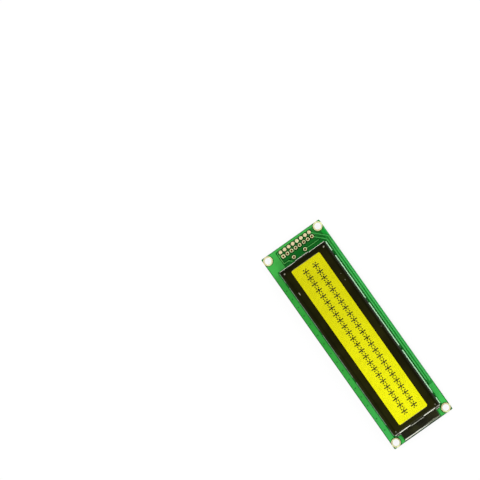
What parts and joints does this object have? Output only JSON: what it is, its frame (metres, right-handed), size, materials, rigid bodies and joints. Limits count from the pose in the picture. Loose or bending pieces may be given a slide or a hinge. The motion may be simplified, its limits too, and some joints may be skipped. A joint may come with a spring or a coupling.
{
  "type": "character lcd module",
  "caption": "Character display module: steel-framed dot-matrix glass over a side-lit tray, on a green board with corner mounting holes and a plated header",
  "frame": {"origin": "centre of the four mounting holes, on the back face of the board", "axes": "+X from the header end to the lamp end, +Y up as the display is read, +Z out of the display face"},
  "size_m": [0.118, 0.036, 0.0124],
  "materials": {
    "board": "glass-epoxy board under glossy dark-green solder mask",
    "masked_copper": "copper under solder mask, a lighter green than the bare board",
    "tinned_copper": "pale gold plating with a thin tin bloom",
    "black_steel": "satin olive-black paint on thin steel, bare along the cut lower edge",
    "polarizer_film": "clear matt film",
    "cell_glass": "thin polished glass",
    "switched_crystal": "dark olive where the liquid crystal is switched",
    "seal_resin": "cured epoxy seal",
    "rear_film": "yellow-green film that glows with the light behind it",
    "contact_rubber": "layered conducting rubber between pink outer skins",
    "white_plastic": "white moulded reflector plastic",
    "clear_acrylic": "clear acrylic, polished",
    "diffuser_film": "milky film",
    "white_film": "white reflecting film",
    "lamp_resin": "yellow-green lamp resin",
    "black_tape": "black light-proof tape with faint wrinkles",
    "tinned_pin": "tinned wire",
    "solder": "bright solder",
    "black_epoxy": "black potting epoxy, soft sheen",
    "resistor_ceramic": "dark glazed resistor face",
    "capacitor_ceramic": "tan ceramic"
  },
  "bodies": {
    "root": {"pcb": "board", "front_copper": "masked_copper", "back_copper": "tinned_copper", "mounting_hole_rings": "tinned_copper", "header_pads": "tinned_copper", "backlight_pads": "tinned_copper", "bezel": "black_steel", "front_polarizer": "polarizer_film", "front_glass": "cell_glass", "lcd_dots": "switched_crystal", "perimeter_seal": "seal_resin", "rear_glass": "cell_glass", "rear_polarizer": "rear_film", "zebra_strip_top": "contact_rubber", "zebra_strip_bottom": "contact_rubber", "backlight_frame": "white_plastic", "light_guide": "clear_acrylic", "diffuser_sheet": "diffuser_film", "reflector_sheet": "white_film", "led_board": "board", "leds": "lamp_resin", "tail_tape": "black_tape", "backlight_pins": "tinned_pin", "backlight_solder": "solder", "controller_cob": "black_epoxy", "segment_driver_cob_left": "black_epoxy", "segment_driver_cob_right": "black_epoxy", "resistor_bodies": "resistor_ceramic", "resistor_terminals": "solder", "capacitor_bodies": "capacitor_ceramic", "capacitor_terminals": "solder"}
  },
  "joints": []
}
